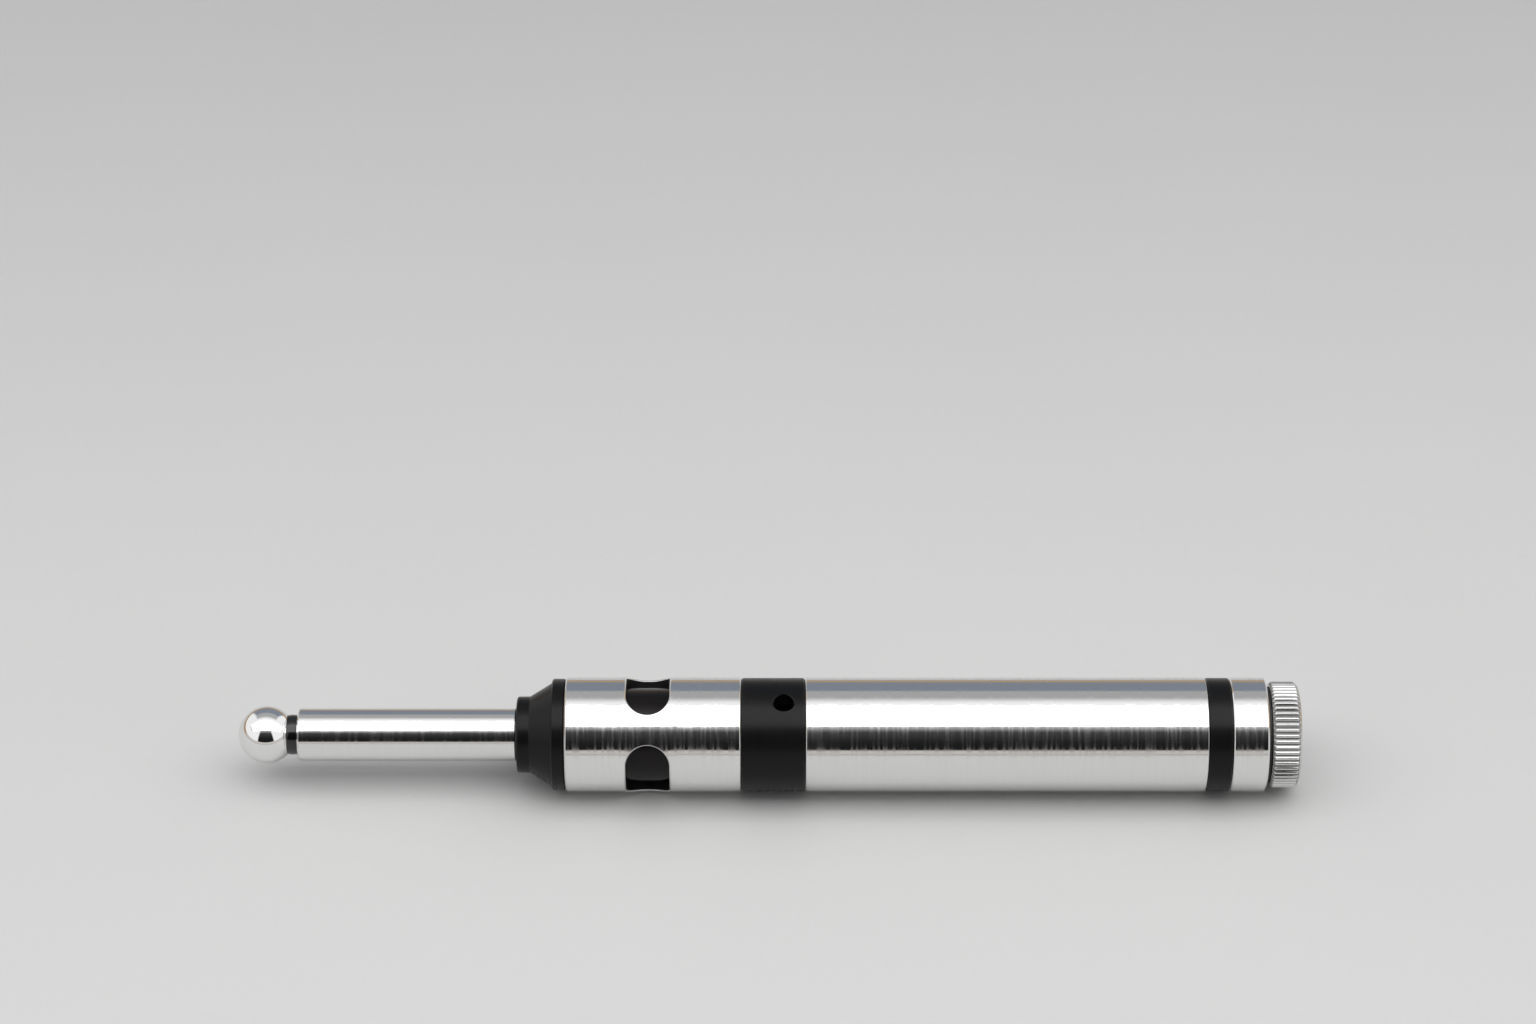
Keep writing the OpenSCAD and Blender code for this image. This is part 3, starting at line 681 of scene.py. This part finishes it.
class EDGEFINDER_OT_windows(bpy.types.Operator):
    """Models the lamp tube with its three windows, rolled from a pierced strip"""
    bl_idname = "edgefinder.windows"
    bl_label = "Lamp tube"

    count = 3
    first_angle = radians(105)  # of a window's middle, from the near side over the top
    end_swell = 1.03  # lengthens the windows' round ends round the tube

    def execute(self, context):
        sizes, colours = settings(context)
        front, rear = ends("lamp_tube")
        tube_r = outer("lamp_tube")
        middle = front + 14.4 * MM
        half = sizes.window_width / 2
        margin = half + 1.6 * MM
        sector = 2 * pi * tube_r / self.count
        mesh = self.pierced_sector(middle, half, margin, sector, tube_r, sizes.window_span)
        whole = everything(mesh)
        for index in range(1, self.count):
            copy = bmesh.ops.duplicate(mesh, geom=whole)["geom"]
            bmesh.ops.translate(mesh, vec=(0, index * sector, 0), verts=verts_of(copy))
        bmesh.ops.remove_doubles(mesh, verts=mesh.verts[:], dist=SEAM)
        for v in mesh.verts:
            turn = self.first_angle + v.co.y / tube_r
            v.co = (v.co.x, -tube_r * cos(turn), tube_r * sin(turn))
        bmesh.ops.remove_doubles(mesh, verts=mesh.verts[:], dist=SEAM)
        for side, face in ((-1, front), (1, rear)):
            edge_x = middle + side * margin
            rim = [e for e in mesh.edges if e.is_boundary
                   and all(abs(v.co.x - edge_x) < SEAM for v in e.verts)]
            made = bmesh.ops.extrude_edge_only(mesh, edges=rim)["geom"]
            bmesh.ops.translate(mesh, vec=(face - edge_x, 0, 0), verts=verts_of(made))
        self.give_wall(mesh, front, rear, tube_r, sizes)
        # Below this outer skin, the tube's bore and the windows' cut walls are painted near-black
        # as shade
        skin = sizes.window_bevel + 0.06 * MM
        steel = machined("ground_tube", colours.steel, 0.05, 0.185, tube_r - skin)
        add_piece("window_tube", mesh, "body", steel, ["lamp_tube"],
                  sizes.fine_edge)
        return {"FINISHED"}

    def pierced_sector(self, middle, half, margin, sector, tube_r, span):
        """One flat third of the tube's wall, bridged from its frame to the slot in it."""
        around, along, end_steps = 40, 12, 24
        mesh = bmesh.new()
        grid = bmesh.ops.create_grid(mesh, x_segments=along, y_segments=around, size=1)["verts"]
        for v in grid:
            v.co = (middle + v.co.x * margin, v.co.y * sector / 2, 0)
        inside = [v for v in mesh.verts if not v.is_boundary]
        bmesh.ops.delete(mesh, geom=inside, context="VERTS")
        end_angle = asin(half * self.end_swell / tube_r)
        reach = tube_r * (span / 2 - end_angle)
        circle = bmesh.ops.create_circle(
            mesh, segments=2 * end_steps, radius=half,
            matrix=Matrix.Translation((middle, 0, 0)) @ Matrix.Rotation(pi / 2 / end_steps, 4, "Z"))
        slot = circle["verts"]
        slot_edges = edges_of(slot)
        for v in slot:
            v.co.y = v.co.y * tube_r * end_angle / half + (reach if v.co.y > 0 else -reach)
        sides = [e for e in slot_edges if e.verts[0].co.y * e.verts[1].co.y < 0]
        cuts = around + along - end_steps
        bmesh.ops.subdivide_edges(mesh, edges=sides, cuts=cuts)
        made = bmesh.ops.bridge_loops(mesh, edges=mesh.edges[:])
        spokes = [e for e in made["edges"] if not e.is_boundary]
        bmesh.ops.subdivide_edges(mesh, edges=spokes, cuts=4, use_grid_fill=True)
        return mesh

    def give_wall(self, mesh, front, rear, tube_r, sizes):
        """Adds the inner wall, then breaks the edges of the two ends and of each window."""
        inner = bmesh.ops.extrude_face_region(mesh, geom=everything(mesh),
                                              use_keep_orig=True)["geom"]
        inner_r = sizes.socket
        half_span = sizes.window_span / 2
        half_width = sizes.window_width / 2 * self.end_swell
        swell = asin(half_width / inner_r) - asin(half_width / tube_r)
        third = 2 * pi / self.count
        for v in verts_of(inner):
            turn = atan2(v.co.z, -v.co.y)
            local = (turn - self.first_angle + third / 2) % third - third / 2
            if abs(local) <= half_span:
                shift = local / half_span * swell
            else:
                left = (third / 2 - abs(local)) / (third / 2 - half_span)
                shift = (swell if local > 0 else -swell) * left
            turn += shift
            v.co = (v.co.x, -inner_r * cos(turn), inner_r * sin(turn))
        mend(mesh)
        near = MERGE * 50
        corner = radians(50)

        def on_skin(v):
            return abs(hypot(v.co.y, v.co.z) - tube_r) < near

        rims, windows = [], []
        for e in mesh.edges:
            if not all(on_skin(v) for v in e.verts) or len(e.link_faces) != 2:
                continue
            if e.calc_face_angle(0) < corner:
                continue
            at_end = all(min(abs(v.co.x - front), abs(v.co.x - rear)) < near for v in e.verts)
            (rims if at_end else windows).append(e)
        bevel(mesh, rims, sizes.edge_break)
        windows = [e for e in windows if e.is_valid]
        bevel(mesh, windows, sizes.window_bevel)
        mend(mesh)


class EDGEFINDER_OT_inside(bpy.types.Operator):
    """Models the smoked sleeve and the two leads, and finishes the board, lamp and buzzer"""
    bl_idname = "edgefinder.inside"
    bl_label = "Lamp and buzzer"

    def execute(self, context):
        colours = context.scene.edge_finder_colours
        self.sleeve(colours.smoke)
        self.leads()
        nickel = wire_finish("nickel_plated_nut", (0.66, 0.66, 0.65), 0.2)
        brass = wire_finish("brass_strip", (0.76, 0.56, 0.26), 0.22)
        first_band = ends("resistor")[0] + 1.6 * MM
        finishes = {
            "stem_nut": nickel, "solder_lug": brass, "battery_contact": brass,
            "lamp_board": board_finish(), "indicator_lamp": lamp_finish(),
            "resistor": banded_finish(first_band, 0.9 * MM, (
                (0.20, 0.05, 0.02), (0.02, 0.02, 0.02), (0.45, 0.03, 0.02), (0.50, 0.36, 0.12))),
            "buzzer": moulded("buzzer_case", (0.02, 0.02, 0.021), 0.35, 0.5, 0.004 * MM),
        }
        for node, finish in finishes.items():
            set_finish(node, finish)
        return {"FINISHED"}

    def sleeve(self, tint):
        """The sleeve behind the windows, thinner where its ends sit in the nose and the ring."""
        front, rear = ends("light_sleeve")
        sleeve_r = outer("light_sleeve")
        seat = 2 * MM
        seat_r = 6.8 * MM
        inner_r = seat_r - 1.2 * MM
        front_step = front + seat
        rear_step = rear - seat - PLAY
        outline = Outline(front, inner_r).to(
            (front, seat_r), (front_step, seat_r), (front_step, sleeve_r), (rear_step, sleeve_r),
            (rear_step, seat_r), (rear, seat_r), (rear, inner_r)).close()
        smoke = moulded("smoked_sleeve", tint, 0.18, 0.26, 0.0004 * MM, BLACK_SHEEN)
        add_piece("sleeve_smoked", outline.spun(), "body", smoke,
                  ["light_sleeve"], 0.08 * MM)

    def leads(self):
        """The two leads, rounded from their solids."""
        for name, node, slot, tint in (
                ("lead_red", "stem_lead", "red_lead", (0.42, 0.03, 0.02)),
                ("lead_blue", "battery_lead", "blue_lead", (0.006, 0.012, 0.06))):
            mesh = bmesh.new()
            mesh.from_mesh(NODES[node].data)
            mend(mesh)
            jacket = moulded(name + "_jacket", tint, 0.35, 0.5, 0.001 * MM)
            piece = add_piece(name, mesh, "body", jacket, [node])
            smooth = piece.modifiers.new("round_lead", "SUBSURF")
            smooth.levels = smooth.render_levels = 2


class EDGEFINDER_OT_ring(bpy.types.Operator):
    """Finishes the black centre ring with its sound port"""
    bl_idname = "edgefinder.ring"
    bl_label = "Centre ring"

    def execute(self, context):
        set_finish("centre_ring",
                   turned_black("black_ring", context.scene.edge_finder_colours.black))
        return {"FINISHED"}


class EDGEFINDER_OT_shank(bpy.types.Operator):
    """Models the ground shank, bored through and socketed at both ends"""
    bl_idname = "edgefinder.shank"
    bl_label = "Shank"

    def execute(self, context):
        sizes, colours = settings(context)
        front, rear = ends("shank_tube")
        shank_r = outer("shank_tube")
        edge = sizes.edge_break
        front_socket = ends("centre_ring")[1] + PLAY
        rear_socket = ends("tail_ring")[0] - PLAY
        outline = Outline(front, sizes.socket).to(
            (front, shank_r - edge), (front + edge, shank_r), (rear - edge, shank_r),
            (rear, shank_r - edge), (rear, sizes.socket), (rear_socket, sizes.socket),
            (rear_socket, sizes.bore), (front_socket, sizes.bore),
            (front_socket, sizes.socket)).close()
        steel = machined("ground_shank", colours.steel, 0.05, 0.18)
        add_piece("shank_steel", outline.spun(192), "body", steel,
                  ["shank_tube"], sizes.fine_edge)
        return {"FINISHED"}


class EDGEFINDER_OT_tail(bpy.types.Operator):
    """Models the black band, the steel tail ring on its long spigot and the cap's seal"""
    bl_idname = "edgefinder.tail"
    bl_label = "Tail"

    def execute(self, context):
        sizes, colours = settings(context)
        self.band(sizes, colours.black)
        self.ring(sizes, colours.steel)
        self.seal(sizes, colours.rubber)
        return {"FINISHED"}

    def band(self, sizes, tint):
        front, rear = ends("tail_band")
        band_r = outer("tail_band")
        edge = 0.2 * MM
        outline = Outline(front, sizes.socket).to(
            (front, band_r - edge), (front + edge, band_r), (rear - edge, band_r),
            (rear, band_r - edge), (rear, sizes.socket)).close()
        add_piece("band_black", outline.spun(), "body",
                  turned_black("black_band", tint), ["tail_band"], sizes.fine_edge)

    def ring(self, sizes, tint):
        spigot_front, rear = ends("tail_ring")
        front = ends("tail_band")[1]
        ring_r = outer("tail_ring")
        edge = sizes.edge_break
        outline = Outline(spigot_front, sizes.bore).to(
            (spigot_front, sizes.spigot), (front, sizes.spigot), (front, ring_r - edge),
            (front + edge, ring_r), (rear - edge, ring_r), (rear, ring_r - edge),
            (rear, sizes.bore)).close()
        add_piece("tail_steel", outline.spun(), "body",
                  machined("ground_tail", tint, 0.05, 0.175), ["tail_ring"], sizes.fine_edge)

    def seal(self, sizes, tint):
        front, rear = ends("cap_seal")
        seal_r = outer("cap_seal")
        inner_r = sizes.bore + PLAY
        outline = Outline(front, inner_r).to(
            (front, seal_r), (rear, seal_r), (rear, inner_r)).close()
        rubber = moulded("seal_rubber", tint, 0.55, 0.75, 0.006 * MM)
        add_piece("seal_rubber_ring", outline.spun(), "cap_carrier", rubber,
                  ["cap_seal"], 0.2 * MM, 3)


class EDGEFINDER_OT_cap(bpy.types.Operator):
    """Models the knurled cap with its threaded spigot, and the spring inside it"""
    bl_idname = "edgefinder.cap"
    bl_label = "Cap"

    rows = 8  # of points from one ridge's crest to the next
    # Each row's share of the pitch, and its height as a share of the depth, from crest to root
    ridge = ((0, 1), (0.14, 0.93), (0.27, 0.66), (0.37, 0.2), (0.5, 0))
    # The same for the corners of the thread's ridge
    thread = ((0, 0), (0.32, 1), (0.44, 1), (0.76, 0))

    def execute(self, context):
        sizes, colours = settings(context)
        front, rear = ends("end_cap")
        head_r = outer("end_cap")
        head_front = ends("cap_seal")[1]
        bore_r = 5.6 * MM
        floor = ends("cap_spring")[1]
        thread_r = sizes.bore - PLAY
        core_r = thread_r - sizes.thread_depth
        root_r = head_r - sizes.knurl_depth
        front_r = root_r - 0.1 * MM
        front_edge = 0.55 * MM
        rim_r = head_r - sizes.rim_bevel
        root_front = head_front + front_edge * (root_r - front_r) / (head_r - front_r)
        root_rear = rear - root_r + rim_r
        mesh = Outline(floor, 0).to(
            (floor, bore_r), (front, bore_r), (front, core_r), (head_front, core_r),
            (head_front, front_r), (root_front, root_r), (head_front + front_edge, head_r),
            (rear - sizes.rim_bevel, head_r), (root_rear, root_r), (rear, rim_r),
            (rear, 0)).spun(sizes.knurl_count * self.rows)
        self.cut_knurl(mesh, sizes.knurl_count, head_r, root_r)
        self.wind_thread(mesh, front, head_front, core_r, thread_r, sizes.thread_pitch)
        bmesh.ops.recalc_face_normals(mesh, faces=mesh.faces[:])
        nickel = plated_finish(colours.nickel, head_front, root_rear)
        add_piece("cap_knurled", mesh, "cap", nickel, ["end_cap"], 0.05 * MM,
                  angle=40)
        steel = wire_finish("cap_coil_wire", SPRING_STEEL, 0.22)
        add_piece("cap_coil", coil("cap_spring", 3.8 * MM, 0.35 * MM, 1.5), "cap_carrier",
                  steel, ["cap_spring"])
        return {"FINISHED"}

    def cut_knurl(self, mesh, count, head_r, root_r):
        """Rounds each run of eight rows into a ridge, from its crest down to the groove's root."""
        pitch = 2 * pi / count
        core = root_r - 0.3 * MM  # points inside this are the spigot's and the end face's
        for v in mesh.verts:
            r = hypot(v.co.y, v.co.z)
            if r < core:
                continue
            row = round((atan2(v.co.z, v.co.y) % (2 * pi)) / (pitch / self.rows))
            number, place = divmod(row, self.rows)
            share, height = self.ridge[min(place, self.rows - place)]
            turn = (number + share if place <= self.rows / 2 else number + 1 - share) * pitch
            r = min(r, root_r + height * (head_r - root_r))
            v.co = (v.co.x, r * cos(turn), r * sin(turn))

    def wind_thread(self, mesh, front, rear, core_r, thread_r, pitch):
        """Winds the thread round the spigot, with its root sunk a little into it."""
        root = core_r - 0.05 * MM
        lead_in = 0.4 * MM
        runout = 0.6 * pitch
        start = front + lead_in / 2
        corners = [mesh.verts.new((start + share * pitch, 0, thread_r if crest else root))
                   for share, crest in self.thread]
        edges = [mesh.edges.new(pair) for pair in zip(corners, corners[1:] + corners[:1])]
        turns = (rear - front - lead_in - runout) / pitch
        helix(mesh, corners + edges, [(turns, pitch)], 64)


class EDGEFINDER_OT_cells(bpy.types.Operator):
    """Models the two cells and the plastic sleeve that keeps them off the shank"""
    bl_idname = "edgefinder.cells"
    bl_label = "Cells"

    def execute(self, context):
        for name, node in (("cell_front", "front_cell"), ("cell_rear", "rear_cell")):
            self.cell(name, node)
        front, rear = ends("cell_sleeve")
        sleeve_r = outer("cell_sleeve")
        inner_r = 5.5 * MM
        outline = Outline(front, inner_r).to(
            (front, sleeve_r), (rear, sleeve_r), (rear, inner_r)).close()
        pale = moulded("pale_sleeve", (0.62, 0.60, 0.54), 0.35, 0.5, 0.003 * MM)
        add_piece("sleeve_pale", outline.spun(96), "body", pale,
                  ["cell_sleeve"], 0.12 * MM)
        return {"FINISHED"}

    def cell(self, name, node):
        front, rear = ends(node)
        cell_r = outer(node)
        nub, nub_r = 0.9 * MM, 1.9 * MM
        shoulder, heel = 0.5 * MM, 0.3 * MM
        outline = Outline(front, 0).to(
            (front, nub_r), (front + nub, nub_r), (front + nub, cell_r - shoulder),
            (front + nub + shoulder, cell_r), (rear - heel, cell_r), (rear, cell_r - heel),
            (rear, 0))
        add_piece(name, outline.spun(96), "body",
                  cell_finish(name + "_jacket", front, rear), [node], 0.08 * MM)


class EDGEFINDER_OT_stage(bpy.types.Operator):
    """Sets the pale floor, the overhead lamp, the dim surroundings and the camera"""
    bl_idname = "edgefinder.stage"
    bl_label = "Stage"

    def execute(self, context):
        colours = context.scene.edge_finder_colours
        self.floor(colours.floor)
        self.lamp(colours.lamp_strength)
        self.surroundings()
        self.camera()
        bpy.context.scene.view_settings.view_transform = "Standard"
        return {"FINISHED"}

    def floor(self, tint):
        mesh = bmesh.new()
        bmesh.ops.create_grid(mesh, x_segments=8, y_segments=8, size=8)
        bmesh.ops.translate(mesh, verts=mesh.verts[:], vec=(0, 0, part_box("shank_tube")[0].z))
        data = bpy.data.meshes.new("floor")
        mesh.to_mesh(data)
        mesh.free()
        data.materials.append(floor_finish(tint))
        floor = bpy.data.objects.new("floor", data)
        bpy.context.scene.collection.objects.link(floor)

    def lamp(self, strength):
        """A wide soft lamp above the tool."""
        width, depth, height = 1.9, 0.454, 0.55
        data = bpy.data.lights.new("overhead", "AREA")
        data.shape = "RECTANGLE"
        data.size, data.size_y = width, depth
        data.energy = strength * pi * width * depth
        lamp = bpy.data.objects.new("overhead", data)
        lamp.location = (0, -0.13, height)
        lamp.visible_camera = False
        bpy.context.scene.collection.objects.link(lamp)

    def surroundings(self):
        """Pale walls at both sides and a pale horizon, dark in front and grey behind.

        The rise is the angle in degrees from the front horizon over the top to the back one.
        """
        world = bpy.data.worlds.new("studio")
        world.use_nodes = True
        bpy.context.scene.world = world
        room = Room(world)
        back = room.along("Y")
        up = room.along("Z")
        out = room.along("X").math("ABSOLUTE")
        rise = up.math("ARCTAN2", 0 - back) * degrees(1)
        tone = (0.013, 0.013, 0.014)
        for start, end, beyond in (
                (18, 66, (0.085, 0.086, 0.090)), (44, 60, (0.60, 0.60, 0.61)),
                (95, 100, (1.05, 1.05, 1.06)), (106, 122, (0.44, 0.44, 0.45)),
                (137, 141, (0.24, 0.27, 0.32))):
            tone = room.mix(rise.over(start, end), tone, beyond)
        opening = (0 - back * 0.6).math("MAXIMUM", rise.over(80, 100) * 0.5)
        tone = room.mix((out - opening).over(-0.03, 0.08), tone, (1.0, 1.0, 1.01))
        # Black where the lamp stands, which hides it
        behind_lamp = rise.between(59, 98, 2) * (1 - (out - up * 1.65).over(-0.05, 0.05))
        tone = room.mix(behind_lamp, tone, (0, 0, 0))
        horizon = room.mix(back.over(-0.2, 0.2), (0.62, 0.59, 0.57), (0.46, 0.33, 0.19))
        tone = room.mix(up.over(0.135, 0.155), horizon, tone)
        room.tree.links.new(tone.socket, room.shader.inputs["Color"])

    def camera(self):
        """A long lens in front of the tool, looking down at it."""
        data = bpy.data.cameras.new("camera")
        data.lens = 102.42
        data.sensor_width = 36
        camera = bpy.data.objects.new("camera", data)
        camera.location = (-0.0414, -0.5816, 0.4970)
        camera.rotation_euler = (radians(90 - 37.6), 0, 0)
        bpy.context.scene.collection.objects.link(camera)
        bpy.context.scene.camera = camera


OPERATORS = (EDGEFINDER_OT_tip, EDGEFINDER_OT_stem, EDGEFINDER_OT_nose, EDGEFINDER_OT_windows,
             EDGEFINDER_OT_inside, EDGEFINDER_OT_ring, EDGEFINDER_OT_shank, EDGEFINDER_OT_tail,
             EDGEFINDER_OT_cap, EDGEFINDER_OT_cells, EDGEFINDER_OT_stage)


class EDGEFINDER_PT_panel(bpy.types.Panel):
    """Lists the steps that dress the edge finder, with the sizes and colours that they use"""
    bl_idname = "EDGEFINDER_PT_panel"
    bl_label = "Edge finder"
    bl_space_type = "VIEW_3D"
    bl_region_type = "UI"
    bl_category = "Edge finder"

    def draw(self, context):
        for group in settings(context):
            column = self.layout.column(align=True)
            for name in group.__annotations__:
                column.prop(group, name)
        column = self.layout.column(align=True)
        for operator in OPERATORS:
            column.operator(operator.bl_idname)


CLASSES = (EdgeFinderSizes, EdgeFinderColours, *OPERATORS, EDGEFINDER_PT_panel)


def register():
    for cls in CLASSES:
        bpy.utils.register_class(cls)
    bpy.types.Scene.edge_finder_sizes = bpy.props.PointerProperty(type=EdgeFinderSizes)
    bpy.types.Scene.edge_finder_colours = bpy.props.PointerProperty(type=EdgeFinderColours)


def unregister():
    del bpy.types.Scene.edge_finder_colours
    del bpy.types.Scene.edge_finder_sizes
    for cls in reversed(CLASSES):
        bpy.utils.unregister_class(cls)


def main():
    register()
    for operator in OPERATORS:
        name = operator.bl_idname.split(".")[1]
        getattr(bpy.ops.edgefinder, name)()


if __name__ == "__main__":
    main()
